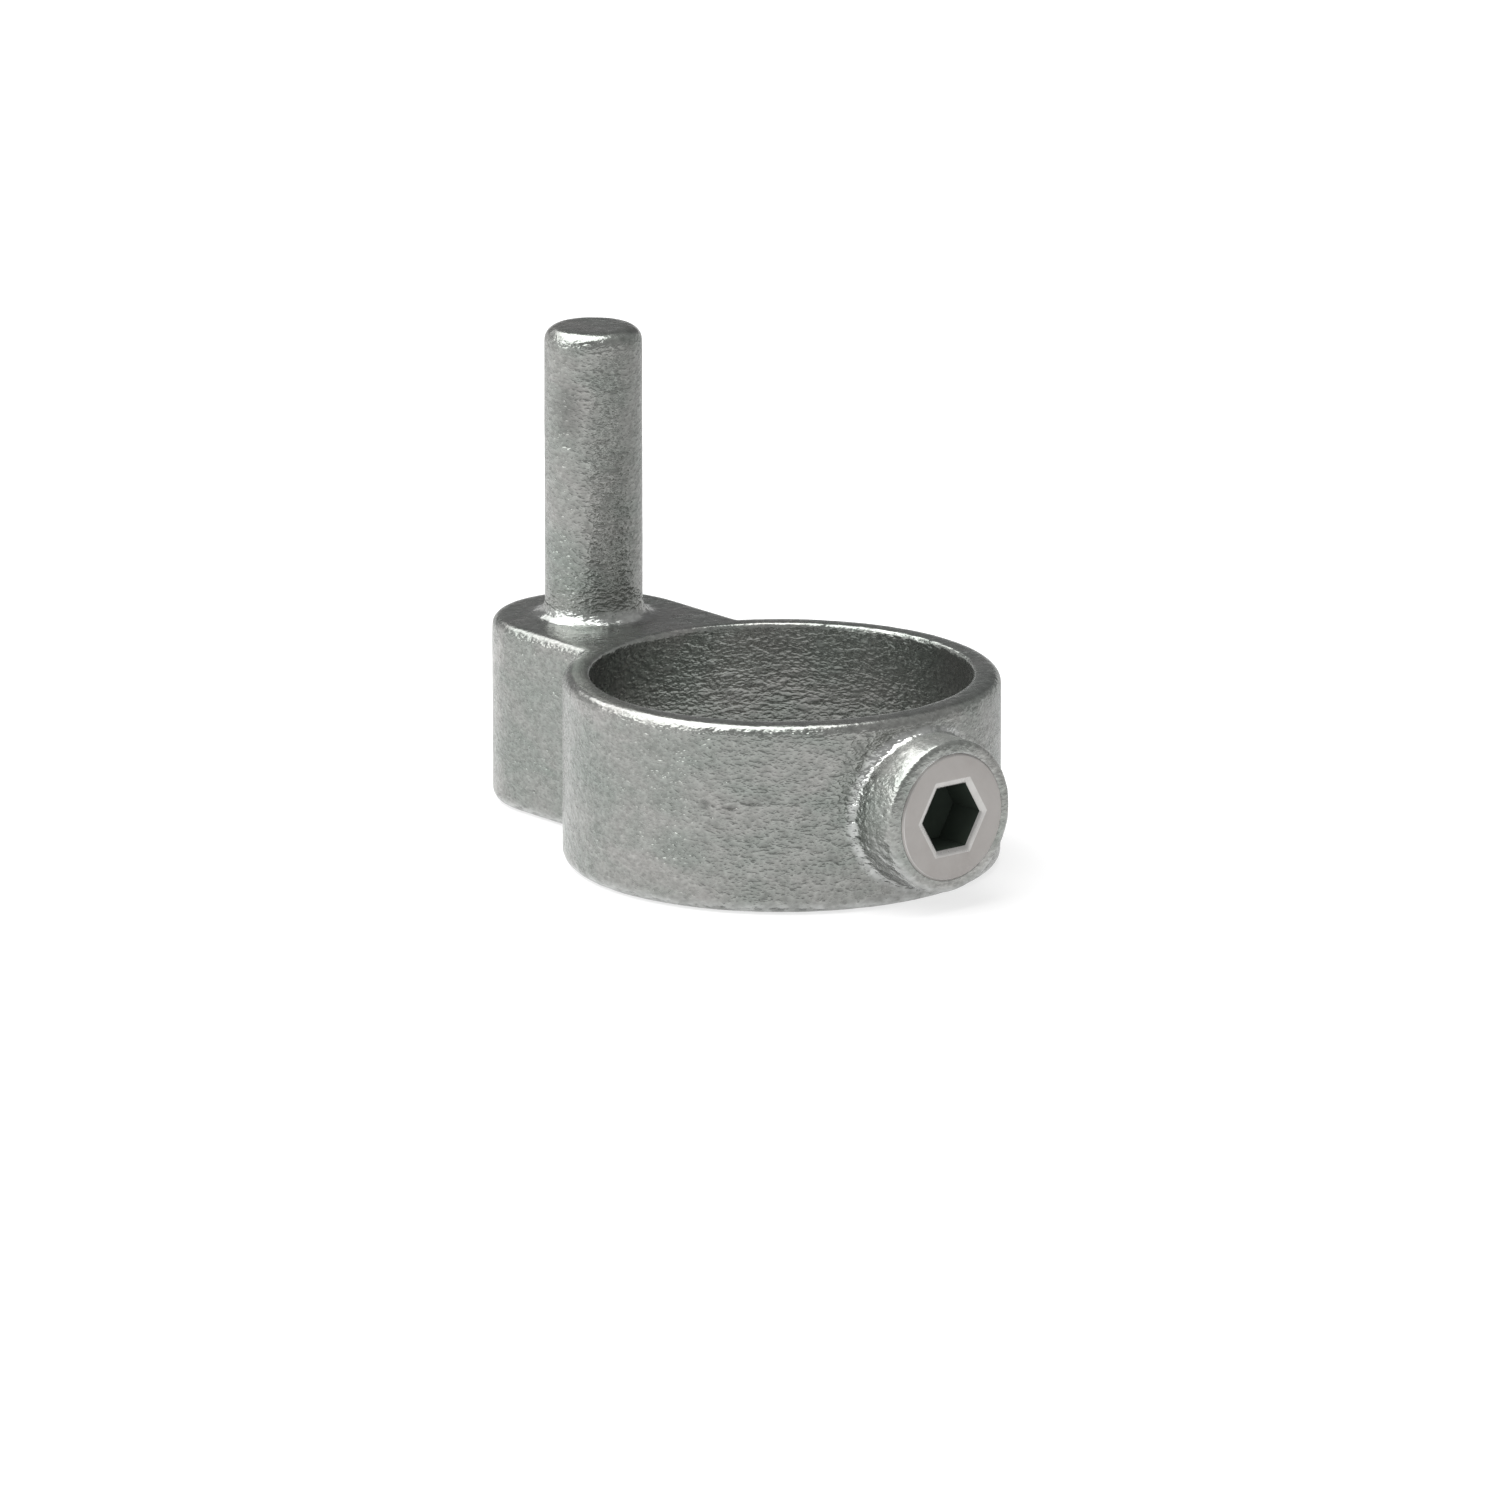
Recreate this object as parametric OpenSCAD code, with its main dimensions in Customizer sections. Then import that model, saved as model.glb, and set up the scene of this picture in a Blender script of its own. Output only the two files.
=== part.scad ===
// Clamp collar fitting with a hinge pin, cast in one piece and galvanised, and its set screw.
// Millimetres. The origin is on the bore's axis at the bottom face, +Z runs up the bore,
// and +X points from the bore towards the set screw. The hinge pin stands on the -X side.

/* [Collar ring] */
// Diameter of the bore that slides over the upright
bore_d = 49.8; // [48.8:0.1:62]
// Thickness of the ring's wall
wall = 3.65; // [3.3:0.05:7]
// Height of the ring, of the boss's side and of the lug
collar_h = 25; // [24:0.5:45]
// Radius of the cast round on every outer edge of the ring and the lug
edge_round = 1.5; // [0.6:0.1:1.6]
// Radius of the small round at both mouths of the bore
bore_edge = 0.4; // [0.2:0.05:0.5]

/* [Screw boss] */
// Diameter of the boss
boss_d = 20.4; // [19.6:0.1:21.2]
// How far the boss's face stands out from the ring's wall
boss_reach = 5.9; // [4.6:0.1:12]
// Radius of the round on the boss's outer edge
boss_round = 1.2; // [0.4:0.1:1.3]
// Radius of the fillet where the boss runs into the ring
boss_fillet = 1.3; // [0.6:0.1:1.4]

/* [Set screw] */
// Outer diameter of the screw, the crest of its 19 threads to the inch
screw_d = 16.66; // [15:0.01:16.8]
// Clearance all round between the screw and its hole
screw_play = 0.05; // [0.02:0.01:0.09]
// How far the screw's face stands out of the boss
screw_proud = 0.05; // [0:0.05:1]
// Gap between the screw's tip and the bore's wall while the collar slides free
tip_gap = 0.1; // [0.05:0.05:0.5]
// Bevel round the screw's face
face_bevel = 0.35; // [0.1:0.05:0.8]
// Bevel round the screw's tip
tip_bevel = 1.2; // [0.5:0.1:1.8]
// Diameter of the hollow in the screw's tip, whose rim bites
cup_d = 9; // [6:0.5:11]
// Depth of that hollow
cup_depth = 1; // [0.5:0.1:1.2]

/* [Key socket] */
// Distance across the flats of the six-sided socket
key_af = 8.3; // [7.8:0.1:9]
// Depth of the socket's flats
key_depth = 5.6; // [4.5:0.1:6]
// Width of the bevel round the socket's mouth
key_bevel = 0.45; // [0.2:0.05:0.7]

/* [Hinge lug] */
// Width of the lug, and diameter of its round end
lug_w = 27; // [22:0.5:34]
// Distance from the ring's outer wall to the hinge pin's axis
pin_reach = 10.4; // [9:0.1:20]

/* [Hinge pin] */
// Diameter of the pin
pin_d = 13; // [10:0.5:16]
// Height of the pin above the lug
pin_h = 39; // [20:0.5:80]
// Radius of the round on the pin's top edge
pin_top_round = 2; // [0.5:0.1:4]
// Radius of the fillet at the pin's foot
pin_foot = 1.5; // [0.5:0.1:2.5]

/* [Hidden] */
$fn = 96;
// Depth by which a shape runs on into the metal that it joins
sink = 1;
// Length by which a cut runs past the face that it opens
past = 1;

bore_r = bore_d / 2;
ring_r = bore_r + wall;
pin_x = ring_r + pin_reach;
mid_h = collar_h / 2;

boss_r = boss_d / 2;
boss_face = ring_r + boss_reach;
// The lug and the boss start here, inside the bore, which then cuts their ends to its own curve
lug_root = sqrt(bore_r * bore_r - lug_w * lug_w / 4) - sink;
boss_root = sqrt(bore_r * bore_r - boss_r * boss_r) - sink;

screw_r = screw_d / 2;
screw_face = boss_face + screw_proud;
screw_tip = bore_r + tip_gap;
screw_len = screw_face - screw_tip;
key_r = key_af / 2 / cos(30);
// The pilot hole under the socket is a little narrower than its flats, and ends in a cone
pilot_step = 0.15;
pilot_r = key_af / 2 - pilot_step;
pilot_cone = 1;

// The boss's fillet: steps round the boss, steps across the fillet, and how much its ball
// is swollen, so that the fillet's edges dip below the walls that they run into
fillet_turns = 60;
fillet_steps = 6;
ball_swell = 0.02;

cast_zinc = [0.63, 0.64, 0.63];
screw_steel = [0.72, 0.70, 0.68];

// Half of a round bar's outline, from its axis out to r and from the height low to high,
// with rounds of the radii top and bottom on its two edges
module bar_half(r, low, high, top, bottom) {
    translate([0, low])
        square([r - bottom, high - low - top]);
    translate([0, low + bottom])
        square([r - top, high - low - bottom]);
    translate([0, low + bottom])
        square([r, high - low - bottom - top]);
    if (top > 0)
        translate([r - top, high - top])
            circle(r = top);
    if (bottom > 0)
        translate([r - bottom, low + bottom])
            circle(r = bottom);
}

// What a round takes off the edge at a bore's mouth, at radius r and height z,
// with the bore below the mouth (side -1) or above it (side 1)
module mouth_corner(r, z, round, side) {
    difference() {
        translate([r - past, side > 0 ? z - past : z - round])
            square([round + past, round + past]);
        translate([r + round, z + side * round])
            circle(r = round);
    }
}

// The lug's cross section, a block with four rounded corners
module lug_section() {
    half = lug_w / 2 - edge_round;
    translate([-half, 0])
        square([2 * half, collar_h]);
    translate([-lug_w / 2, edge_round])
        square([lug_w, collar_h - 2 * edge_round]);
    for (side = [-1, 1], z = [edge_round, collar_h - edge_round])
        translate([side * half, z])
            circle(r = edge_round);
}

// A solid of revolution along +X, from an outline drawn as radius and height
module turn_along_x(z) {
    translate([0, 0, z])
        rotate([0, 90, 0])
            rotate_extrude()
                children();
}

module ring_blank() {
    rotate_extrude()
        bar_half(ring_r, 0, collar_h, edge_round, edge_round);
}

module bore_cut() {
    translate([0, 0, -past])
        cylinder(r = bore_r, h = collar_h + 2 * past);
    rotate_extrude()
        mouth_corner(bore_r, 0, bore_edge, 1);
    rotate_extrude()
        mouth_corner(bore_r, collar_h, bore_edge, -1);
}

module lug() {
    translate([-pin_x, 0, 0])
        rotate_extrude()
            bar_half(lug_w / 2, 0, collar_h, edge_round, edge_round);
    translate([-lug_root, 0, 0])
        rotate([90, 0, -90])
            linear_extrude(pin_x - lug_root)
                lug_section();
}

module hinge_pin() {
    pin_r = pin_d / 2;
    translate([-pin_x, 0, collar_h])
        rotate_extrude() {
            bar_half(pin_r, -sink, pin_h, pin_top_round, 0);
            difference() {
                translate([0, -sink])
                    square([pin_r + pin_foot, pin_foot + sink]);
                translate([pin_r + pin_foot, pin_foot])
                    circle(r = pin_foot);
            }
        }
}

module boss() {
    turn_along_x(mid_h)
        bar_half(boss_r, boss_root, boss_face, boss_round, 0);
}

// The fillet is the inner side of a ball's path as it rolls round the boss and touches the ring.
// At the angle t round the boss, ball_centre is the ball's centre from the boss's axis
function ball_centre(t) =
    let (u = (boss_r + boss_fillet) * cos(t),
         v = (boss_r + boss_fillet) * sin(t),
         reach = ring_r + boss_fillet)
    [sqrt(reach * reach - u * u), u, v];

// Directions from the ball's centre to where it touches the ring, and the boss
function to_ring(c) = -[c.x, c.y, 0] / norm([c.x, c.y]);
function to_boss(c) = -[0, c.y, c.z] / norm([c.y, c.z]);

// The direction at the angle a on the way from the ring's touch to the boss's
function between(d1, d2, a, whole) =
    (sin(whole - a) * d1 + sin(a) * d2) / sin(whole);

// Where the ring's wall and the boss's wall, both moved inwards by the same depth, would cross
function core_point(t, depth) =
    let (u = (boss_r - depth) * cos(t), v = (boss_r - depth) * sin(t), r = ring_r - depth)
    [sqrt(r * r - u * u), u, v];

function fillet_section(t) =
    let (c = ball_centre(t),
         d1 = to_ring(c),
         d2 = to_boss(c),
         whole = acos(d1 * d2))
    concat(
        [for (k = [0 : fillet_steps])
            c + (boss_fillet + ball_swell) * between(d1, d2, k * whole / fillet_steps, whole)],
        [core_point(t, sink)]);

module boss_fillet_ring() {
    per = fillet_steps + 2;
    points = [for (i = [0 : fillet_turns - 1]) each fillet_section(i * 360 / fillet_turns)];
    faces = [for (i = [0 : fillet_turns - 1], k = [0 : per - 1])
        let (a = i * per,
             b = ((i + 1) % fillet_turns) * per,
             n = (k + 1) % per)
        each [[a + k, b + n, b + k], [a + k, a + n, b + n]]];
    translate([0, 0, mid_h])
        polyhedron(points, faces);
}

module screw_hole() {
    translate([0, 0, mid_h])
        rotate([0, 90, 0])
            cylinder(r = screw_r + screw_play, h = boss_face + past);
}

// One casting: ring, boss, lug and hinge pin
module collar_casting() {
    color(cast_zinc)
        difference() {
            union() {
                ring_blank();
                lug();
                hinge_pin();
                boss();
                boss_fillet_ring();
            }
            bore_cut();
            screw_hole();
        }
}

// The screw's outline from its axis, with the tip at 0
module screw_half() {
    polygon([
        [0, cup_depth],
        [cup_d / 2, 0],
        [screw_r - tip_bevel, 0],
        [screw_r, tip_bevel],
        [screw_r, screw_len - face_bevel],
        [screw_r - face_bevel, screw_len],
        [0, screw_len]
    ]);
}

// The six-sided hollow, with two corners level, a bevelled mouth and the pilot hole's cone below
module key_socket() {
    floor_h = screw_len - key_depth;
    rotate([0, 0, 90]) {
        translate([0, 0, floor_h])
            cylinder(r = key_r, h = key_depth + past, $fn = 6);
        translate([0, 0, screw_len - key_bevel])
            cylinder(r1 = key_r, r2 = key_r + key_bevel + past, h = key_bevel + past, $fn = 6);
    }
    translate([0, 0, floor_h - pilot_cone])
        cylinder(r1 = 0, r2 = pilot_r, h = pilot_cone);
}

module set_screw() {
    color(screw_steel)
        translate([screw_tip, 0, mid_h])
            rotate([0, 90, 0])
                difference() {
                    rotate_extrude()
                        screw_half();
                    key_socket();
                }
}

collar_casting();
set_screw();
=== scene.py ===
import math

import bmesh
import bpy
import numpy as np
from mathutils import Matrix, Vector, noise
from mathutils.bvhtree import BVHTree


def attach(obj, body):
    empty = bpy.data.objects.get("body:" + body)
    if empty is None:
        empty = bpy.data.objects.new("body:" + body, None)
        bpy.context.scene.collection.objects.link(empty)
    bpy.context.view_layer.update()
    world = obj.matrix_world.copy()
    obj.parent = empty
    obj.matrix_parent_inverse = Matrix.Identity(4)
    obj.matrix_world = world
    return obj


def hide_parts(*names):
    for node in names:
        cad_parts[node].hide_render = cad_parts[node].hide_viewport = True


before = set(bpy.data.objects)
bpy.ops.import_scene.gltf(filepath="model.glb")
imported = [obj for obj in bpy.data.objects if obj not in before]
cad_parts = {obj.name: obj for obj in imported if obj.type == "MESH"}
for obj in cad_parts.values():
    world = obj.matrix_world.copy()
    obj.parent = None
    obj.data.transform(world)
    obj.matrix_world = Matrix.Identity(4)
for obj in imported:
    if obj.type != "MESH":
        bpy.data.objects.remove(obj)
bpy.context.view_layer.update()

MM = 0.001

# The casting's sizes, in metres. Those of the boss, its hole and the pin's foot depart from the
# part's source by up to half a millimetre, to look as the real one does
BORE_R = 24.9 * MM
RING_R = 28.55 * MM
COLLAR_H = 25 * MM
EDGE_ROUND = 1.5 * MM
BORE_EDGE = 0.4 * MM
MID_H = COLLAR_H / 2
BOSS_R = 10.1 * MM
BOSS_FACE = 34.27 * MM
BOSS_ROUND = 0.8 * MM
BOSS_FILLET = 1.3 * MM
HOLE_R = 8.342 * MM
LUG_W = 27 * MM
PIN_X = -38.95 * MM
PIN_R = 6.5 * MM
PIN_TOP = 64 * MM
PIN_TOP_ROUND = 2 * MM
PIN_FOOT = 2.0 * MM

# The set screw, from the hollow in its tip to its key socket
SCREW_R = 8.33 * MM
SCREW_TIP = 25.0 * MM
SCREW_FACE = 34.5 * MM
FACE_BEVEL = 0.25 * MM
TIP_BEVEL = 1.2 * MM
CUP_R = 4.5 * MM
CUP_DEPTH = 1.0 * MM
KEY_R = 8.3 * MM / 2 / math.cos(math.radians(30))
KEY_DEPTH = 5.6 * MM
PILOT_R = 4.0 * MM
PILOT_CONE = 1.0 * MM
THREAD_PITCH = 1.337 * MM
THREAD_DEPTH = 0.856 * MM
# The thread runs out over this length, and has ended this far below the face
THREAD_RUN_OUT = 1.0 * MM
THREAD_END = 0.7 * MM

# Axes that the casting's parts are turned round: a point on each, and its direction
BORE_AXIS = ((0, 0, 0), (0, 0, 1))
PIN_AXIS = ((PIN_X, 0, 0), (0, 0, 1))
SCREW_AXIS = ((0, 0, MID_H), (1, 0, 0))

# Where the shells end inside the metal that they join, and how much larger the fillet's ball is
# made, so that the fillet's edges dip below the walls that they run into
BOSS_ROOT = 20 * MM
LUG_ROOT = -19 * MM
PIN_ROOT = COLLAR_H - 1.2 * MM
PIN_SEAT = PIN_R + PIN_FOOT + 0.4 * MM
FILLET_SINK = 1 * MM
FILLET_SWELL = 0.01 * MM

# How finely the sand-cast skin is remeshed, how far it may be laid back onto the shells, and how
# often it is softened
SKIN_STEP = 0.42 * MM
SKIN_REACH = 0.6 * SKIN_STEP
SKIN_SOFTENINGS = 2
# How uneven the skin is: the height of its waves, the breadth, share and seed of each kind, and
# how many heights the skin lies below the shells, so that no wave stands out of them
WAVE_HEIGHT = 0.07 * MM
WAVES = [(7 * MM, 0.42, 3.1), (2.6 * MM, 0.26, 11.3), (1.15 * MM, 0.22, 23.9)]
WAVES_SINK = 0.75

# The drill for the screw's hole goes this far both ways from the boss's face. With this number of
# sides its corners miss the bore's points, and no edge of the casting is doubled
DRILL_REACH = 14 * MM
DRILL_SIDES = 190

# Points closer than this are the same
TINY = 0.001 * MM


# Shapes

def as_object(name, bm):
    """A bmesh as an object at the origin, its place in its mesh."""
    mesh = bpy.data.meshes.new(name)
    bm.to_mesh(mesh)
    bm.free()
    piece = bpy.data.objects.new(name, mesh)
    bpy.context.scene.collection.objects.link(piece)
    return piece


def keep_modified(piece):
    """Makes the shape that the piece's modifiers give its own."""
    bpy.context.view_layer.update()
    graph = bpy.context.evaluated_depsgraph_get()
    mesh = bpy.data.meshes.new_from_object(piece.evaluated_get(graph))
    old = piece.data
    piece.modifiers.clear()
    piece.data = mesh
    bpy.data.meshes.remove(old)


def drop(piece):
    mesh = piece.data
    bpy.data.objects.remove(piece)
    bpy.data.meshes.remove(mesh)


def cut_with(piece, cutter):
    """Takes the cutter's volume off the piece, and the cutter away."""
    cut = piece.modifiers.new("cut", "BOOLEAN")
    cut.operation = "DIFFERENCE"
    cut.solver = "EXACT"
    cut.object = cutter
    keep_modified(piece)
    drop(cutter)


def turned(name, outline, axis, steps, closed=False):
    """A piece turned on a lathe. The outline's corners are (x, z, round at that corner)."""
    bm = bmesh.new()
    verts = [bm.verts.new((x, 0, z)) for x, z, _ in outline]
    pairs = list(zip(verts, verts[1:])) + ([(verts[-1], verts[0])] if closed else [])
    for pair in pairs:
        bm.edges.new(pair)
    for vert, (_, _, rounding) in zip(verts, outline):
        if rounding:
            bmesh.ops.bevel(bm, geom=[vert], offset=rounding, offset_type="OFFSET", segments=10,
                            profile=0.5, affect="VERTICES", material=-1, clamp_overlap=False)
    bmesh.ops.spin(bm, geom=bm.verts[:] + bm.edges[:], cent=axis[0], axis=axis[1],
                   angle=2 * math.pi, steps=steps, use_merge=True)
    bmesh.ops.remove_doubles(bm, verts=bm.verts[:], dist=TINY)
    bmesh.ops.recalc_face_normals(bm, faces=bm.faces[:])
    return as_object(name, bm)


def ring_shell():
    return turned("ring", [
        (BORE_R, 0, BORE_EDGE),
        (RING_R, 0, EDGE_ROUND),
        (RING_R, COLLAR_H, EDGE_ROUND),
        (BORE_R, COLLAR_H, BORE_EDGE),
    ], BORE_AXIS, steps=256, closed=True)


def pin_shell():
    return turned("pin", [
        (PIN_X, PIN_ROOT, 0),
        (PIN_X + PIN_SEAT, PIN_ROOT, 0),
        (PIN_X + PIN_SEAT, COLLAR_H, 0),
        (PIN_X + PIN_R, COLLAR_H, PIN_FOOT),
        (PIN_X + PIN_R, PIN_TOP, PIN_TOP_ROUND),
        (PIN_X, PIN_TOP, 0),
    ], PIN_AXIS, steps=128)


def boss_shell():
    return turned("boss", [
        (BOSS_ROOT, MID_H, 0),
        (BOSS_ROOT, MID_H + BOSS_R, 0),
        (BOSS_FACE, MID_H + BOSS_R, BOSS_ROUND),
        (BOSS_FACE, MID_H, 0),
    ], SCREW_AXIS, steps=160)


def lug_shell():
    """A block with one round end, and a round on every edge but those at its root."""
    bm = bmesh.new()
    tip = bm.verts.new((PIN_X, LUG_W / 2, 0))
    bmesh.ops.spin(bm, geom=[tip], cent=(PIN_X, 0, 0), axis=(0, 0, 1), angle=math.pi, steps=80)
    for end in [v for v in bm.verts if len(v.link_edges) == 1]:
        corner = bm.verts.new((LUG_ROOT, end.co.y, 0))
        bm.edges.new((end, corner))
    bm.edges.new([v for v in bm.verts if len(v.link_edges) == 1])
    underside = bmesh.ops.contextual_create(bm, geom=bm.edges[:])["faces"]
    grown = bmesh.ops.extrude_face_region(bm, geom=underside)["geom"]
    bmesh.ops.translate(bm, verts=[g for g in grown if isinstance(g, bmesh.types.BMVert)],
                        vec=(0, 0, COLLAR_H))
    rims = [e for e in bm.edges if abs(e.verts[0].co.z - e.verts[1].co.z) < TINY
            and min(v.co.x for v in e.verts) < LUG_ROOT - TINY]
    bmesh.ops.bevel(bm, geom=rims, offset=EDGE_ROUND, offset_type="OFFSET", segments=8,
                    profile=0.5, affect="EDGES", material=-1, clamp_overlap=False)
    bmesh.ops.recalc_face_normals(bm, faces=bm.faces[:])
    return as_object("lug", bm)


def rolling_ball_section(t, across):
    """The fillet's section at the angle t round the boss: the arc of a ball that touches boss
    and ring, and a last point inside the metal."""
    u = (BOSS_R + BOSS_FILLET) * math.cos(t)
    v = (BOSS_R + BOSS_FILLET) * math.sin(t)
    ball = Vector((math.sqrt((RING_R + BOSS_FILLET) ** 2 - u * u), u, v))
    to_ring = -Vector((ball.x, ball.y, 0)).normalized()
    to_boss = -Vector((0, u, v)).normalized()
    whole = to_ring.angle(to_boss)
    reach = BOSS_FILLET + FILLET_SWELL
    section = [ball + reach * (to_ring * math.sin(whole - a) + to_boss * math.sin(a))
               / math.sin(whole) for a in (k * whole / across for k in range(across + 1))]
    u = (BOSS_R - FILLET_SINK) * math.cos(t)
    v = (BOSS_R - FILLET_SINK) * math.sin(t)
    section.append(Vector((math.sqrt((RING_R - FILLET_SINK) ** 2 - u * u), u, v)))
    return section


def fillet_shell():
    """The fillet between boss and ring: a ball rolls round the boss in touch with the ring,
    and each step of its way gives one closed loop, which is bridged to the next."""
    turns, across = 128, 9
    bm = bmesh.new()
    loops = []
    for i in range(turns):
        verts = [bm.verts.new(point + Vector((0, 0, MID_H)))
                 for point in rolling_ball_section(2 * math.pi * i / turns, across)]
        loops.append([bm.edges.new(pair) for pair in zip(verts, verts[1:] + verts[:1])])
    for here, there in zip(loops, loops[1:] + loops[:1]):
        bmesh.ops.bridge_loops(bm, edges=here + there)
    bmesh.ops.recalc_face_normals(bm, faces=bm.faces[:])
    return as_object("fillet", bm)


def bar(name, axis, radius, middle, length, sides):
    """A plain round cutter along X or Z."""
    bm = bmesh.new()
    bmesh.ops.create_cone(bm, cap_ends=True, segments=sides, radius1=radius, radius2=radius,
                          depth=length)
    turn = Matrix.Rotation(math.pi / 2, 4, "Y") if axis == "X" else Matrix.Identity(4)
    bmesh.ops.transform(bm, matrix=Matrix.Translation(middle) @ turn, verts=bm.verts[:])
    bmesh.ops.recalc_face_normals(bm, faces=bm.faces[:])
    return as_object(name, bm)


def joined(name, pieces):
    bm = bmesh.new()
    for piece in pieces:
        bm.from_mesh(piece.data)
        drop(piece)
    return as_object(name, bm)


def skin_offset(place):
    """How far the cast skin stands off the shells there, never outwards."""
    waves = sum(share * noise.noise(place / breadth + Vector((seed, seed * 1.7, -seed)))
                for breadth, share, seed in WAVES)
    return WAVE_HEIGHT * (waves - WAVES_SINK)


def cast_skin(piece):
    """Joins the shells under one skin of even faces, lays it back onto their true surfaces,
    softens the creases and gives it the unevenness of a sand casting."""
    bm = bmesh.new()
    bm.from_mesh(piece.data)
    shells = BVHTree.FromBMesh(bm)
    bm.free()
    skin = piece.modifiers.new("skin", "REMESH")
    skin.mode = "VOXEL"
    skin.voxel_size = SKIN_STEP
    skin.adaptivity = 0
    keep_modified(piece)
    bm = bmesh.new()
    bm.from_mesh(piece.data)
    for vert in bm.verts:
        place = shells.find_nearest(vert.co)[0]
        if (place - vert.co).length < SKIN_REACH:
            vert.co = place
    for _ in range(SKIN_SOFTENINGS):
        bmesh.ops.smooth_vert(bm, verts=bm.verts[:], factor=0.5,
                              use_axis_x=True, use_axis_y=True, use_axis_z=True)
    bm.normal_update()
    moved = [vert.co + vert.normal * skin_offset(vert.co) for vert in bm.verts]
    for vert, place in zip(bm.verts, moved):
        vert.co = place
    bm.to_mesh(piece.data)
    bm.free()


def shade(piece, crease_degrees):
    """Smooth shading, with a hard line wherever the surface turns more sharply than that."""
    bm = bmesh.new()
    bm.from_mesh(piece.data)
    limit = math.radians(crease_degrees)
    for face in bm.faces:
        face.smooth = True
    for edge in bm.edges:
        edge.smooth = edge.calc_face_angle(0) < limit
    bm.to_mesh(piece.data)
    bm.free()


# Where the zinc pools, from not at all to fully: in hollows by their bend, which is one over their
# radius, and on faces that look down, by how steeply. There the skin is smoother, and its colour
# is painted lighter, partly for the pooled zinc and partly as painted light standing in for light
# reflected into hollows and up from below. It drains off those that look up
POOLS_AND_LIGHTENS_IN_BENDS = (0.10 / MM, 0.30 / MM)
POOLS_AND_LIGHTENS_UNDERNEATH = (0.10, 0.50)
DRAINS_OFF_TOPS = (0.25, 0.75)
# The creases beside the lug hold less of it, and the pin above its foot none
LUG_CREASES = 0.35
PIN_FOOT_END = COLLAR_H + 2 * PIN_FOOT
# The bore's wall, up to this far outside its radius, is at least this smooth
BORE_SKIN = 0.3 * MM
BORE_SMOOTH = 0.7
# No bend counts as sharper than this and no edge as shorter, and both measures are evened out
SHARPEST_BEND = 1 / MM
SHORTEST_EDGE = 0.05 * MM
BEND_SOFTENINGS = 6


def ramp(values, low, high):
    """0 up to low, 1 from high on, and evenly in between."""
    return np.clip((values - low) / (high - low), 0, 1)


def mark_skin(piece):
    """Notes on every point of the skin how hollow the casting is there, where zinc pools and the
    colour is painted lighter as painted light, and how level, or in the bore, where it drains
    smooth. The finish reads both."""
    mesh = piece.data
    count = len(mesh.vertices)
    place, out = np.empty(3 * count), np.empty(3 * count)
    ends = np.empty(2 * len(mesh.edges), dtype=np.int64)
    mesh.vertices.foreach_get("co", place)
    mesh.vertex_normals.foreach_get("vector", out)
    mesh.edges.foreach_get("vertices", ends)
    place, out, ends = place.reshape(-1, 3), out.reshape(-1, 3), ends.reshape(-1, 2)
    one, two = ends[:, 0], ends[:, 1]
    links = np.bincount(one, minlength=count) + np.bincount(two, minlength=count)
    along = place[two] - place[one]
    square = np.maximum((along * along).sum(axis=1), SHORTEST_EDGE ** 2)

    def gathered(at_one, at_two):
        return np.bincount(one, at_one, count) + np.bincount(two, at_two, count)

    rise = 2 * (along * out[one]).sum(axis=1) / square
    fall = -2 * (along * out[two]).sum(axis=1) / square
    bend = np.clip(gathered(rise, fall) / links, -SHARPEST_BEND, SHARPEST_BEND)
    level = out[:, 2]
    for _ in range(BEND_SOFTENINGS):
        bend = (gathered(bend[two], bend[one]) + bend) / (links + 1)
        level = (gathered(level[two], level[one]) + level) / (links + 1)
    x, y, z = place.T
    pooled_and_painted_light = ramp(bend, *POOLS_AND_LIGHTENS_IN_BENDS)
    pooled_and_painted_light[z > PIN_FOOT_END] = 0
    pooled_and_painted_light[(x < 0) & (z < COLLAR_H - EDGE_ROUND)] *= LUG_CREASES
    pooled_and_painted_light = np.maximum(pooled_and_painted_light, ramp(-level, *POOLS_AND_LIGHTENS_UNDERNEATH))
    drained = ramp(level, *DRAINS_OFF_TOPS)
    in_bore = np.hypot(x, y) < BORE_R + BORE_SKIN
    drained[in_bore] = np.maximum(drained[in_bore], BORE_SMOOTH)
    for name, share in (("pooled_and_painted_light", pooled_and_painted_light), ("drained", drained)):
        mesh.attributes.new(name, "FLOAT", "POINT").data.foreach_set("value", share)


def make_casting():
    """Ring, lug, boss, fillet and pin under one skin, with the screw's hole drilled through it."""
    lug, boss, pin = lug_shell(), boss_shell(), pin_shell()
    mid_wall = (BORE_R + RING_R) / 2
    for shell in (lug, boss):
        cut_with(shell, bar("core", "Z", mid_wall, (0, 0, MID_H), 3 * COLLAR_H, sides=192))
    casting = joined("collar_casting_skin", [ring_shell(), lug, boss, pin, fillet_shell()])
    cast_skin(casting)
    cut_with(casting, bar("tapping_drill", "X", HOLE_R, (BOSS_FACE, 0, MID_H), 2 * DRILL_REACH,
                          sides=DRILL_SIDES))
    shade(casting, crease_degrees=42)
    mark_skin(casting)
    return casting


def thread_radius(x, angle):
    """The screw's outer radius at x along it: a rounded thread that runs out under the face."""
    turn = (x - SCREW_TIP) / THREAD_PITCH - angle / (2 * math.pi)
    below_face = SCREW_FACE - x
    fade = min(1.0, max(0.0, (below_face - THREAD_END) / THREAD_RUN_OUT))
    fade = fade * fade * (3 - 2 * fade)
    groove = THREAD_DEPTH * fade * (0.5 - 0.5 * math.cos(2 * math.pi * turn))
    chamfer = min(SCREW_R, SCREW_R - TIP_BEVEL + (x - SCREW_TIP),
                  SCREW_R - FACE_BEVEL + below_face)
    return min(SCREW_R - groove, chamfer)


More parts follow.
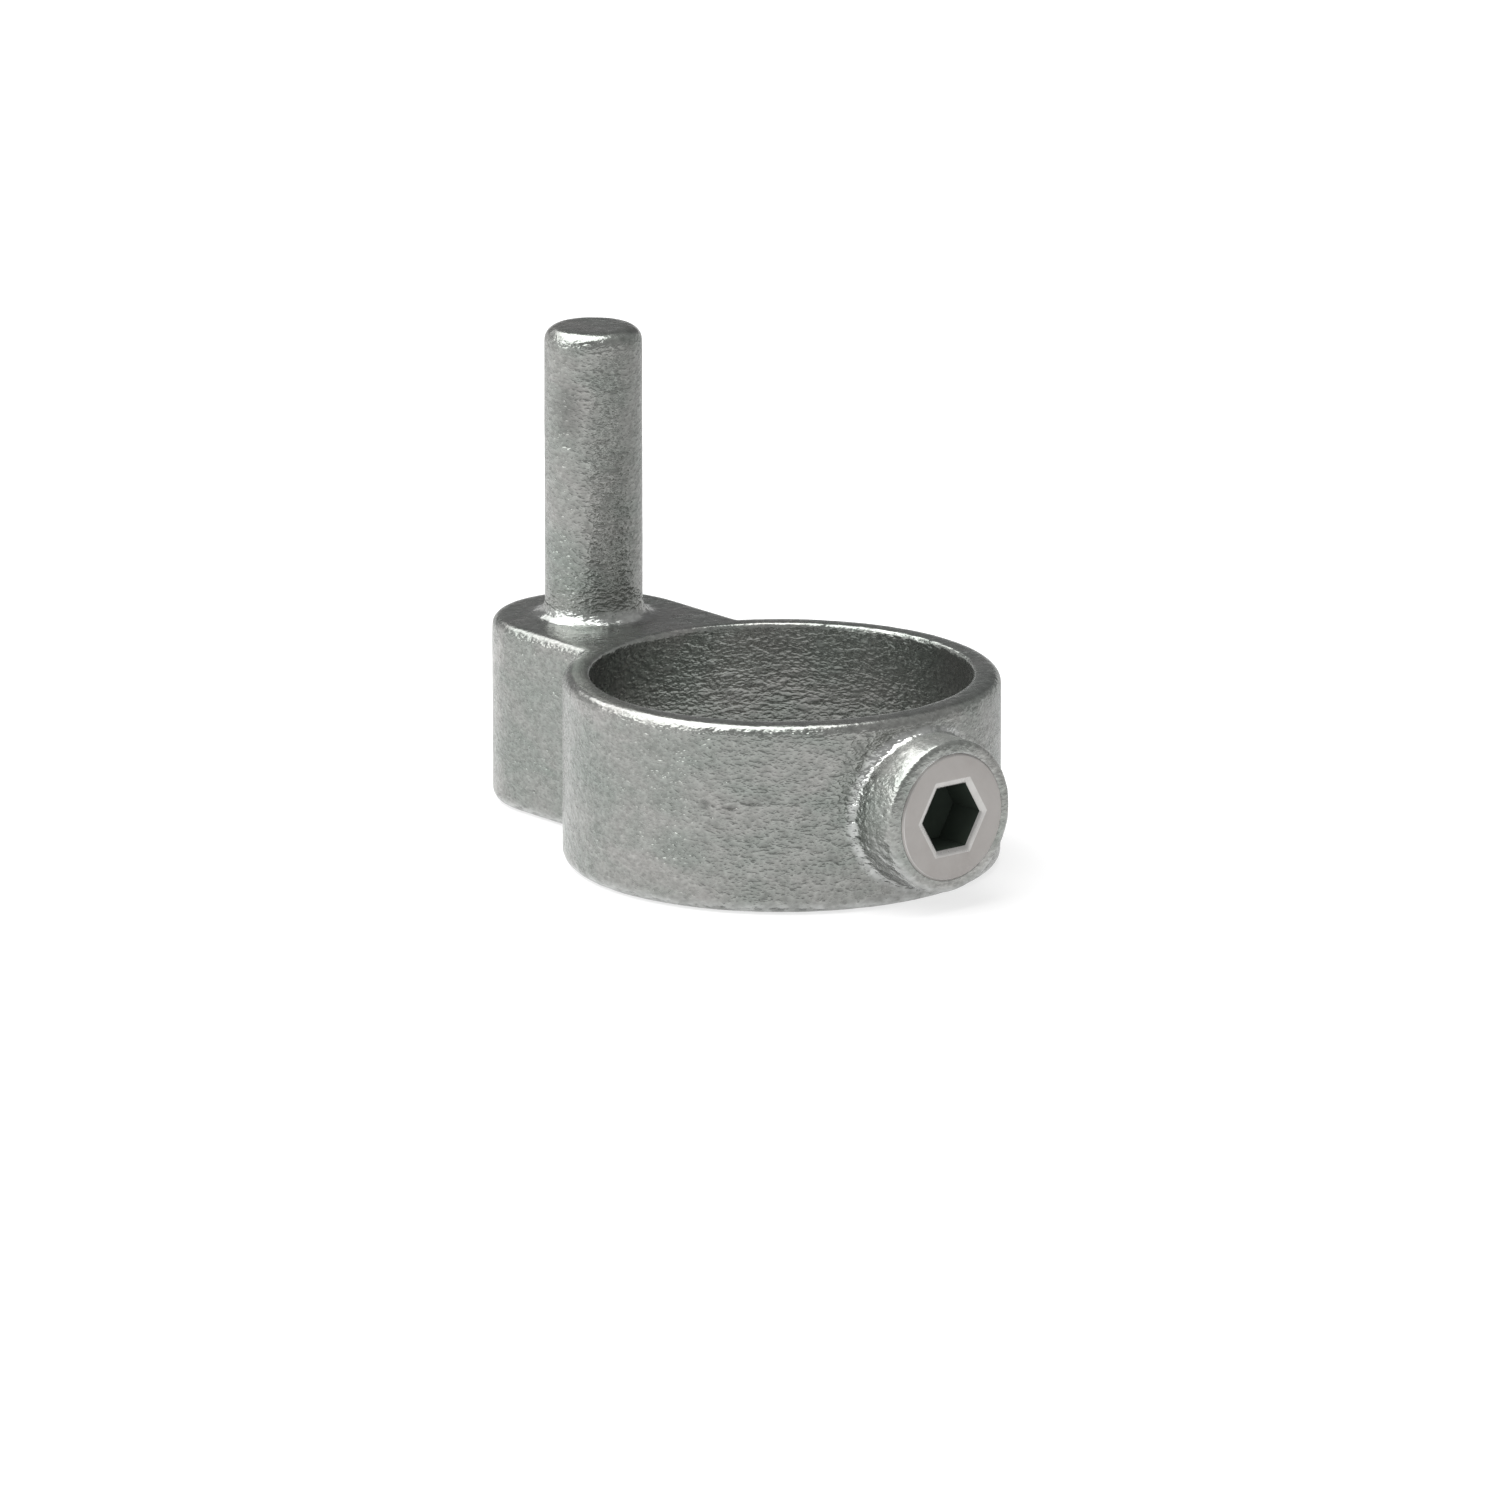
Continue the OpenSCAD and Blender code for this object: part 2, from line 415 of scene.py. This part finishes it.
# The screw's finishes, in the order of its material slots
# The socket's finish is painted shade
# The worn finish is lighter partly from wear and partly as a painted highlight on the bevels
STEEL, WORN_AND_HIGHLIGHT, SOCKET_SHADE = 0, 1, 2

# The soft bevel round the socket's mouth: how far outside the socket and below the face it is, in
# millimetres, and its finish
MOUTH = [
    (1.10, 0.0, STEEL),
    (0.95, 0.012, STEEL),
    (0.70, 0.045, WORN_AND_HIGHLIGHT),
    (0.46, 0.10, WORN_AND_HIGHLIGHT),
    (0.25, 0.17, WORN_AND_HIGHLIGHT),
    (0.10, 0.26, WORN_AND_HIGHLIGHT),
    (0.0, 0.38, WORN_AND_HIGHLIGHT),
]

# How many loops the screw's thread has, and how many points each loop
SCREW_ROWS = 118
SCREW_SIDES = 96
# The two hollow cones end in a small flat, this share of their depth down and of their width
CONE_DEPTH, CONE_FLAT = 0.9, 0.1


def hexagon(corner, angle):
    """How far a hexagon's wall is from its middle, with a corner at angle 0."""
    step = math.radians(60)
    return corner * math.cos(step / 2) / math.cos(angle % step - step / 2)


def screw_outline():
    """The screw's loops, from the hollow in its tip, over the thread and the face, down the key
    socket: each one's place along the screw, its radius at an angle, and the finish of the band
    before it."""
    steps = [SCREW_TIP + (SCREW_FACE - SCREW_TIP) * i / SCREW_ROWS for i in range(SCREW_ROWS)]
    steps = sorted(set(steps + [SCREW_TIP + TIP_BEVEL, SCREW_FACE - FACE_BEVEL]))
    key_end = SCREW_FACE - KEY_DEPTH
    loops = [(SCREW_TIP + CONE_DEPTH * CUP_DEPTH, lambda a: CONE_FLAT * CUP_R, STEEL),
             (SCREW_TIP, lambda a: CUP_R, STEEL)]
    loops += [(x, lambda a, x=x: thread_radius(x, a), STEEL) for x in steps]
    loops += [(SCREW_FACE, lambda a: SCREW_R - FACE_BEVEL, WORN_AND_HIGHLIGHT)]
    loops += [(SCREW_FACE - down * MM, lambda a, wide=wide: hexagon(KEY_R + wide * MM, a), band)
              for wide, down, band in MOUTH]
    loops += [(key_end, lambda a: hexagon(KEY_R, a), SOCKET_SHADE),
              (key_end, lambda a: PILOT_R, SOCKET_SHADE),
              (key_end - CONE_DEPTH * PILOT_CONE, lambda a: CONE_FLAT * PILOT_R, SOCKET_SHADE)]
    return loops


def make_screw():
    """A circle is stood up to face along the screw and moved to the outline's first loop. Each
    further loop is grown out of the one before it."""
    bm = bmesh.new()
    verts = bmesh.ops.create_circle(bm, segments=SCREW_SIDES, radius=1)["verts"]
    stood_up = Matrix(((0, 0, 1), (1, 0, 0), (0, 1, 0))).to_4x4()
    bmesh.ops.transform(bm, matrix=stood_up, verts=verts)
    bmesh.ops.translate(bm, verts=verts, vec=(0, 0, MID_H))
    rim = bm.edges[:]
    first = rim
    for i, (x, radius_at, band) in enumerate(screw_outline()):
        if i:
            grown = bmesh.ops.extrude_edge_only(bm, edges=rim)["geom"]
            verts = [g for g in grown if isinstance(g, bmesh.types.BMVert)]
            fresh = set(verts)
            beside = dict.fromkeys(edge for vert in verts for edge in vert.link_edges)
            rim = [edge for edge in beside if set(edge.verts) <= fresh]
            for face in (g for g in grown if isinstance(g, bmesh.types.BMFace)):
                face.material_index = band
        for vert in verts:
            angle = math.atan2(vert.co.z - MID_H, vert.co.y)
            radius = radius_at(angle)
            vert.co = Vector((x, radius * math.cos(angle), MID_H + radius * math.sin(angle)))
    for hole in (first, rim):
        bmesh.ops.contextual_create(bm, geom=hole)
    bmesh.ops.recalc_face_normals(bm, faces=bm.faces[:])
    screw = as_object("set_screw_threaded", bm)
    shade(screw, crease_degrees=32)
    return screw


# Nodes

def fill(tree, to, name, value):
    """Sets a node's input to a value, or joins it to another node's output."""
    socket = to.inputs[name]
    if isinstance(value, bpy.types.NodeSocket):
        tree.links.new(value, socket)
    else:
        socket.default_value = value


def add(tree, kind, **inputs):
    """A node with these inputs."""
    made = tree.nodes.new(kind)
    for name, value in inputs.items():
        fill(tree, made, name.replace("_", " "), value)
    return made


def maths(tree, operation, a, b=0.0):
    made = tree.nodes.new("ShaderNodeMath")
    made.operation = operation
    fill(tree, made, 0, a)
    fill(tree, made, 1, b)
    return made.outputs[0]


def product(tree, *factors):
    whole = factors[0]
    for factor in factors[1:]:
        whole = maths(tree, "MULTIPLY", whole, factor)
    return whole


def vector_maths(tree, operation, a, b=None):
    made = tree.nodes.new("ShaderNodeVectorMath")
    made.operation = operation
    fill(tree, made, 0, a)
    if b is not None:
        fill(tree, made, 1, b)
    return made


def spread(tree, value, low, high, to_low, to_high):
    """Goes evenly from to_low to to_high while the value goes from low to high."""
    return add(tree, "ShaderNodeMapRange", Value=value, From_Min=low, From_Max=high,
               To_Min=to_low, To_Max=to_high).outputs["Result"]


def where(tree, share, at_none, at_full):
    """Goes from at_none to at_full with a share from 0 to 1."""
    return spread(tree, share, 0.0, 1.0, at_none, at_full)


def varied(tree, grain, low, high, reach=1.0):
    """Goes from low to high with a grain from -reach to reach."""
    return spread(tree, grain, -reach, reach, low, high)


def blend_colours(tree, share, one, two):
    made = tree.nodes.new("ShaderNodeMix")
    made.data_type = "RGBA"
    fill(tree, made, 0, share)
    fill(tree, made, 6, one)
    fill(tree, made, 7, two)
    return made.outputs[2]


def along_way(tree, way, direction):
    """How far the way goes along the direction."""
    return vector_maths(tree, "DOT_PRODUCT", way, direction).outputs["Value"]


def own_place(tree):
    """The point on the piece that is being coloured, in metres."""
    return tree.nodes.new("ShaderNodeTexCoord").outputs["Object"]


def noted(tree, name):
    """A value that the script has noted on the piece's points."""
    made = tree.nodes.new("ShaderNodeAttribute")
    made.attribute_name = name
    return made.outputs["Fac"]


# The grains that every metal here has: detail, roughness and distortion of the noise
GRAINS = {"Grit": (1.0, 0.5, 0.0), "Lumps": (2.0, 0.5, 0.2), "Patches": (3.0, 0.55, 0.6)}


def new_group(name, inputs, outputs):
    """An empty node group. Inputs and outputs are (name, kind of value)."""
    group = bpy.data.node_groups.new(name, "ShaderNodeTree")
    for in_out, sockets in (("INPUT", inputs), ("OUTPUT", outputs)):
        for socket, kind in sockets:
            group.interface.new_socket(socket, in_out=in_out, socket_type="NodeSocket" + kind)
    given = group.nodes.new("NodeGroupInput").outputs
    return group, given, group.nodes.new("NodeGroupOutput")


def grain_group():
    """Grain of a metal skin: fine grit, broader lumps and cloudy patches, each from -1 to 1."""
    group, given, out = new_group(
        "metal_grain", [("Place", "Vector")] + [(g + " per metre", "Float") for g in GRAINS],
        [(g, "Float") for g in GRAINS])
    for name, (detail, roughness, distortion) in GRAINS.items():
        cloud = add(group, "ShaderNodeTexNoise", Vector=given["Place"],
                    Scale=given[name + " per metre"], Detail=detail, Roughness=roughness,
                    Distortion=distortion)
        fill(group, out, name, spread(group, cloud.outputs["Fac"], 0.25, 0.75, -1.0, 1.0))
    return group


def use_grain(tree, grit, lumps, patches, flatter=1.0):
    """The grain with this many grits, lumps and patches to the metre, and so much flatter than
    it is wide."""
    place = add(tree, "ShaderNodeMapping", Vector=own_place(tree), Scale=(1.0, 1.0, flatter))
    made = tree.nodes.new("ShaderNodeGroup")
    made.node_tree = bpy.data.node_groups.get("metal_grain") or grain_group()
    fill(tree, made, "Place", place.outputs[0])
    for name, per_metre in zip(GRAINS, (grit, lumps, patches)):
        fill(tree, made, name + " per metre", per_metre)
    return made.outputs


def nick_group():
    """A small round or long mark at one place: 1 in its middle, 0 from its rim on."""
    group, given, out = new_group(
        "nick", [(name, "Vector") for name in ("Place", "Middle", "Half size")],
        [("Mark", "Float")])
    away = vector_maths(group, "SUBTRACT", given["Place"], given["Middle"]).outputs[0]
    away = vector_maths(group, "DIVIDE", away, given["Half size"]).outputs[0]
    away = vector_maths(group, "LENGTH", away).outputs["Value"]
    fill(group, out, "Mark", spread(group, away, 0.1, 1.0, 1.0, 0.0))
    return group


def nicked(tree, nicks):
    """Marks at all these places, each a middle and a half size in millimetres."""
    place = own_place(tree)
    marks = 0.0
    for middle, half in nicks:
        made = tree.nodes.new("ShaderNodeGroup")
        made.node_tree = bpy.data.node_groups.get("nick") or nick_group()
        fill(tree, made, "Place", place)
        fill(tree, made, "Middle", Vector(middle) * MM)
        fill(tree, made, "Half size", Vector(half) * MM)
        marks = maths(tree, "MAXIMUM", made.outputs["Mark"], marks)
    return marks


# Finishes

def new_finish(name):
    finish = bpy.data.materials.new(name)
    finish.use_nodes = True
    return finish, finish.node_tree, finish.node_tree.nodes["Principled BSDF"]


# Marks that the mould and handling left on the casting: middles and half sizes in millimetres
NICKS = [
    ((14.5, -24.6, 14.5), (0.80, 0.80, 0.85)),
    ((17.4, -22.6, 14.1), (1.7, 1.4, 0.42)),
    ((19.5, -20.8, 14.8), (1.8, 1.8, 0.40)),
    ((25.7, -12.4, 18.3), (0.7, 0.9, 0.22)),
    ((26.6, 10.3, 23.7), (0.6, 1.1, 0.35)),
    ((28.9, -4.0, 3.6), (0.6, 1.0, 0.28)),
    ((28.9, -2.7, 2.2), (0.6, 1.0, 0.26)),
]
SMUDGE = [
    ((-36.9, -6.0, 54.0), (2.8, 3.0, 5.5)),
    ((-37.6, -6.2, 51.6), (2.0, 2.0, 0.8)),
]

# The zinc's colours: its greener and its greyer clouds, and the pale grey where it pooled, which
# is partly painted light
ZINC_GREEN = (0.250, 0.271, 0.251, 1)
ZINC_GREY = (0.321, 0.319, 0.306, 1)
ZINC_POOLED_AND_PAINTED_LIGHT = (0.60, 0.61, 0.60, 1)
CLOUD_REACH = 0.8

# How deep the casting's grain and its hole's thread look
GRAIN_RELIEF = 0.050 * MM
THREAD_RELIEF = 0.5 * MM
# A nick's depth, in heights of the grain
NICK_DEPTH = 2.8

# The boss's side blends into its face between these places along it, and the wall of the screw's
# hole into the metal round it between these distances from the hole's axis
FACE_BLEND = (BOSS_FACE - 0.7 * MM, BOSS_FACE - 0.3 * MM)
WALL_BLEND = (HOLE_R + 0.02 * MM, HOLE_R + 0.06 * MM)


def thread_cut(tree):
    """The thread in the screw's hole: 1 on its crests, 0 in its roots and all over the rest."""
    x, y, z = add(tree, "ShaderNodeSeparateXYZ", Vector=own_place(tree)).outputs
    up = maths(tree, "SUBTRACT", z, MID_H)
    from_axis = maths(tree, "SQRT", maths(tree, "ADD", maths(tree, "MULTIPLY", y, y),
                                          maths(tree, "MULTIPLY", up, up)))
    on_wall = product(tree, spread(tree, from_axis, *WALL_BLEND, 1.0, 0.0),
                      maths(tree, "GREATER_THAN", x, 0.0))
    turn = maths(tree, "SUBTRACT", maths(tree, "MULTIPLY", x, 2 * math.pi / THREAD_PITCH),
                 maths(tree, "ARCTAN2", up, y))
    return product(tree, on_wall, varied(tree, maths(tree, "COSINE", turn), 0.0, 1.0))


def galvanised_casting():
    """Hot-dipped zinc over a sand casting: dull silver grey, cloudy, gritty, a little green in
    places. It is painted bright in hollows and on undersides, partly for zinc that pooled there
    and partly as painted light, and it is smooth there and on level faces."""
    finish, tree, skin = new_finish("galvanised_casting")
    grain = use_grain(tree, grit=1500.0, lumps=600.0, patches=95.0, flatter=1.7)
    grit, lumps, patches = grain["Grit"], grain["Lumps"], grain["Patches"]
    pooled_and_painted_light, drained = noted(tree, "pooled_and_painted_light"), noted(tree, "drained")
    nicks, smudge = nicked(tree, NICKS), nicked(tree, SMUDGE)
    x = add(tree, "ShaderNodeSeparateXYZ", Vector=own_place(tree)).outputs["X"]
    on_boss = spread(tree, x, RING_R, RING_R + BOSS_FILLET, 0.0, 1.0)
    on_face = spread(tree, x, *FACE_BLEND, 0.0, 1.0)
    on_side = maths(tree, "SUBTRACT", on_boss, on_face)

    # Its colour, and how it shines
    cloudy = blend_colours(tree, varied(tree, patches, 0.0, 1.0, CLOUD_REACH),
                           ZINC_GREEN, ZINC_GREY)
    # Painted light: the boss's side is painted a fifth lighter and its face a tenth lighter than
    # the rest of the casting
    tone = product(tree,
                   varied(tree, grit, 0.80, 1.20), varied(tree, lumps, 0.86, 1.14),
                   where(tree, nicks, 1.0, 0.62), where(tree, smudge, 1.0, 0.66),
                   where(tree, on_side, 1.0, 1.2), where(tree, on_face, 1.0, 1.1))
    toned = vector_maths(tree, "SCALE", cloudy)
    fill(tree, toned, "Scale", tone)
    # Painted light: in hollows and on undersides the colour is lifted towards pale grey, standing
    # in for light reflected there
    bright = product(tree, pooled_and_painted_light, spread(tree, lumps, -0.8, 0.6, 0.25, 0.9))
    fill(tree, skin, "Base Color", blend_colours(tree, bright, toned.outputs[0], ZINC_POOLED_AND_PAINTED_LIGHT))
    fill(tree, skin, "Roughness", maths(tree, "SUBTRACT", varied(tree, lumps, 0.30, 0.20),
                                        product(tree, pooled_and_painted_light, 0.06)))
    fill(tree, skin, "Metallic", where(tree, on_side, 0.92, 0.6))

    # Its relief
    smooth = maths(tree, "MAXIMUM", maths(tree, "MAXIMUM", pooled_and_painted_light, drained),
                   product(tree, on_boss, 0.5))
    fine = product(tree, grit, where(tree, smooth, 1.0, 0.22))
    broad = product(tree, lumps, where(tree, drained, 1.2, 0.45), where(tree, pooled_and_painted_light, 1.0, 3.4),
                    where(tree, on_face, 1.0, 0.35))
    height = product(tree, maths(tree, "ADD", fine, broad),
                     varied(tree, patches, 1.25, 0.65, CLOUD_REACH))
    height = maths(tree, "SUBTRACT", height, product(tree, nicks, NICK_DEPTH))
    relief = add(tree, "ShaderNodeBump", Height=height, Distance=GRAIN_RELIEF, Strength=1.0)
    relief = add(tree, "ShaderNodeBump", Height=thread_cut(tree), Distance=THREAD_RELIEF,
                 Strength=1.0, Normal=relief.outputs["Normal"])
    fill(tree, skin, "Normal", relief.outputs["Normal"])
    return finish


def screw_steel():
    """Plated steel, satin and a little warm, with the faintest grain."""
    finish, tree, skin = new_finish("screw_steel")
    grain = use_grain(tree, grit=2600.0, lumps=700.0, patches=180.0)
    colour = blend_colours(tree, varied(tree, grain["Patches"], 0.0, 1.0),
                           (0.378, 0.357, 0.342, 1), (0.425, 0.408, 0.394, 1))
    fill(tree, skin, "Base Color", colour)
    fill(tree, skin, "Roughness", varied(tree, grain["Grit"], 0.36, 0.44))
    fill(tree, skin, "Metallic", 0.85)
    relief = add(tree, "ShaderNodeBump", Height=grain["Grit"], Distance=0.002 * MM, Strength=1.0)
    fill(tree, skin, "Normal", relief.outputs["Normal"])
    return finish


def worn_edge_and_highlight():
    """The screw's bevels, rubbed by the key and by handling, and painted lighter as a painted
    highlight.
    """
    finish, tree, skin = new_finish("worn_edge_and_highlight")
    grain = use_grain(tree, grit=2600.0, lumps=700.0, patches=300.0)
    colour = blend_colours(tree, varied(tree, grain["Lumps"], 0.0, 1.0),
                           (0.51, 0.50, 0.485, 1), (0.58, 0.57, 0.555, 1))
    fill(tree, skin, "Base Color", colour)
    fill(tree, skin, "Roughness", varied(tree, grain["Grit"], 0.26, 0.36))
    fill(tree, skin, "Metallic", 0.85)
    return finish


def socket_painted_shade():
    """The key socket's walls: painted a dull, greenish near black, as painted shade deep in the
    socket.
    """
    finish, tree, skin = new_finish("socket_painted_shade")
    grain = use_grain(tree, grit=1800.0, lumps=500.0, patches=200.0)
    colour = blend_colours(tree, varied(tree, grain["Patches"], 0.0, 1.0),
                           (0.042, 0.056, 0.044, 1), (0.060, 0.076, 0.062, 1))
    fill(tree, skin, "Base Color", colour)
    fill(tree, skin, "Roughness", varied(tree, grain["Lumps"], 0.75, 0.9))
    fill(tree, skin, "Metallic", 0.0)
    fill(tree, skin, "Specular IOR Level", 0.1)
    return finish


# The studio

# The camera looks down at 15 degrees, on a direction 39.33 degrees round from the screw
VIEW_TURN = math.radians(39.33)
VIEW_DROP = math.radians(14.97)
RIGHT = Vector((math.sin(VIEW_TURN), math.cos(VIEW_TURN), 0))
AWAY = Vector((-math.cos(VIEW_TURN), math.sin(VIEW_TURN), 0))
UP = Vector((0, 0, 1))

# The picture's width and the lens's length in pixels, and where the camera stands: how far back
# from the part's origin along its view, how far left of it, and how far over it
PICTURE_WIDTH = 1500
LENS_PIXELS = 13211
CAMERA_BACK = 1720 * MM
CAMERA_LEFT = 4.10 * MM
CAMERA_OVER = 13.84 * MM
SENSOR_WIDTH = 36

# The floor lies just under the part. Its paint is grey, and it glows for the camera and where the
# part mirrors it, less so towards the back right, between these two distances from the origin
FLOOR_R = 6.0
FLOOR_TOP = -0.05 * MM
FLOOR_PAINT = (0.36, 0.36, 0.36, 1)
FLOOR_SEEN = 0.7
FLOOR_MIRRORED = 0.58
FLOOR_MIRRORED_BACK = 0.20
FLOOR_DIMS = (30 * MM, 75 * MM)

# The sky is grey. A dark screen hangs in it behind the part, with its middle at this height, and
# its edge blurred between two cosines of the angle from there. A pale backdrop ends between two
# heights just over the horizon, and rises by this much towards the left
SKY_GREY = (0.48, 0.48, 0.48, 1)
SCREEN_GREY = (0.17, 0.17, 0.172, 1)
SCREEN_HEIGHT = math.radians(25)
SCREEN_EDGE = (0.76, 0.90)
BACKDROP_PALE = (0.95, 0.95, 0.95, 1)
BACKDROP_EDGE = (0.05, 0.12)
BACKDROP_LEFT = (0.4, 1.0)
BACKDROP_LEFT_RISE = 0.25

# The soft lamps, which look at the part. The turn is how far one stands round to the right from
# straight behind the part, and the height how far over the horizon, both in degrees. Then come
# its distance, its width and its height in metres, and how bright it is
LAMPS = {
    "left_light": (-100, 42, 1.3, 1.2, 1.1, 2.9),
    "overhead_light": (-72, 77, 1.2, 1.05, 1.05, 4.3),
    "back_light": (-40, 44, 1.2, 0.65, 0.6, 2.6),
}


def pale_floor():
    bm = bmesh.new()
    bmesh.ops.create_circle(bm, cap_ends=True, segments=64, radius=FLOOR_R)
    bmesh.ops.translate(bm, verts=bm.verts[:], vec=(0, 0, FLOOR_TOP))
    floor = as_object("floor", bm)
    finish = bpy.data.materials.new("pale_floor")
    finish.use_nodes = True
    tree = finish.node_tree
    tree.nodes.clear()
    rays = tree.nodes.new("ShaderNodeLightPath").outputs
    to_back_right = along_way(tree, own_place(tree), (RIGHT + AWAY).normalized())
    mirrored = maths(tree, "MAXIMUM", rays["Is Glossy Ray"], rays["Is Transmission Ray"])
    mirrored = product(tree, mirrored, spread(tree, to_back_right, *FLOOR_DIMS,
                                              FLOOR_MIRRORED, FLOOR_MIRRORED_BACK))
    glow = maths(tree, "MAXIMUM", product(tree, rays["Is Camera Ray"], FLOOR_SEEN), mirrored)
    paint = add(tree, "ShaderNodeBsdfDiffuse", Color=FLOOR_PAINT)
    light = add(tree, "ShaderNodeEmission", Color=(1, 1, 1, 1), Strength=glow)
    both = tree.nodes.new("ShaderNodeAddShader")
    fill(tree, both, 0, paint.outputs[0])
    fill(tree, both, 1, light.outputs[0])
    add(tree, "ShaderNodeOutputMaterial", Surface=both.outputs[0])
    floor.data.materials.append(finish)


def studio_sky():
    """Soft grey light from all round, with a pale backdrop up to just over the horizon, and a
    dark screen above it behind the part."""
    world = bpy.data.worlds.new("studio_sky")
    world.use_nodes = True
    tree = world.node_tree
    tree.nodes.clear()
    way = tree.nodes.new("ShaderNodeTexCoord").outputs["Generated"]
    to_screen = AWAY * math.cos(SCREEN_HEIGHT) + UP * math.sin(SCREEN_HEIGHT)
    screen = spread(tree, along_way(tree, way, to_screen), *SCREEN_EDGE, 0.0, 1.0)
    colour = blend_colours(tree, screen, SKY_GREY, SCREEN_GREY)
    height = add(tree, "ShaderNodeSeparateXYZ", Vector=way).outputs["Z"]
    rise = spread(tree, along_way(tree, way, -RIGHT), *BACKDROP_LEFT, 0.0, BACKDROP_LEFT_RISE)
    backdrop = spread(tree, maths(tree, "SUBTRACT", height, rise), *BACKDROP_EDGE, 1.0, 0.0)
    colour = blend_colours(tree, backdrop, colour, BACKDROP_PALE)
    sky = add(tree, "ShaderNodeBackground", Color=colour, Strength=1.0)
    add(tree, "ShaderNodeOutputWorld", Surface=sky.outputs[0])
    bpy.context.scene.world = world


def stood(name, data, place):
    """A camera or a lamp, placed and turned by a matrix."""
    made = bpy.data.objects.new(name, data)
    bpy.context.scene.collection.objects.link(made)
    made.matrix_world = place
    return made


def photo_camera():
    data = bpy.data.cameras.new("camera")
    data.sensor_width = SENSOR_WIDTH
    data.lens = LENS_PIXELS * SENSOR_WIDTH / PICTURE_WIDTH
    data.clip_start, data.clip_end = 0.05, 50
    ahead = AWAY * math.cos(VIEW_DROP) - UP * math.sin(VIEW_DROP)
    over = AWAY * math.sin(VIEW_DROP) + UP * math.cos(VIEW_DROP)
    place = -CAMERA_BACK * ahead - CAMERA_LEFT * RIGHT + CAMERA_OVER * over
    turn = Matrix((RIGHT, over, -ahead)).transposed().to_4x4()
    bpy.context.scene.camera = stood("camera", data, Matrix.Translation(place) @ turn)


def soft_lamp(name, turn, height, distance, width, tall, radiance):
    """A rectangular soft light that looks at the part."""
    data = bpy.data.lights.new(name, "AREA")
    data.shape = "RECTANGLE"
    data.size, data.size_y = width, tall
    data.energy = radiance * math.pi * width * tall
    t, h = math.radians(turn), math.radians(height)
    way = (AWAY * math.cos(t) + RIGHT * math.sin(t)) * math.cos(h) + UP * math.sin(h)
    stood(name, data, Matrix.Translation(way * distance + Vector((0, 0, MID_H)))
          @ way.to_track_quat("Z", "Y").to_matrix().to_4x4())


casting = make_casting()
casting.data.materials.clear()
casting.data.materials.append(galvanised_casting())
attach(casting, "collar")
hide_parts("collar_casting")

screw = make_screw()
for finish in (screw_steel(), worn_edge_and_highlight(), socket_painted_shade()):
    screw.data.materials.append(finish)
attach(screw, "screw")
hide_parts("set_screw")

bpy.context.scene.view_settings.view_transform = "Standard"
pale_floor()
studio_sky()
photo_camera()
for lamp_name, settings in LAMPS.items():
    soft_lamp(lamp_name, *settings)
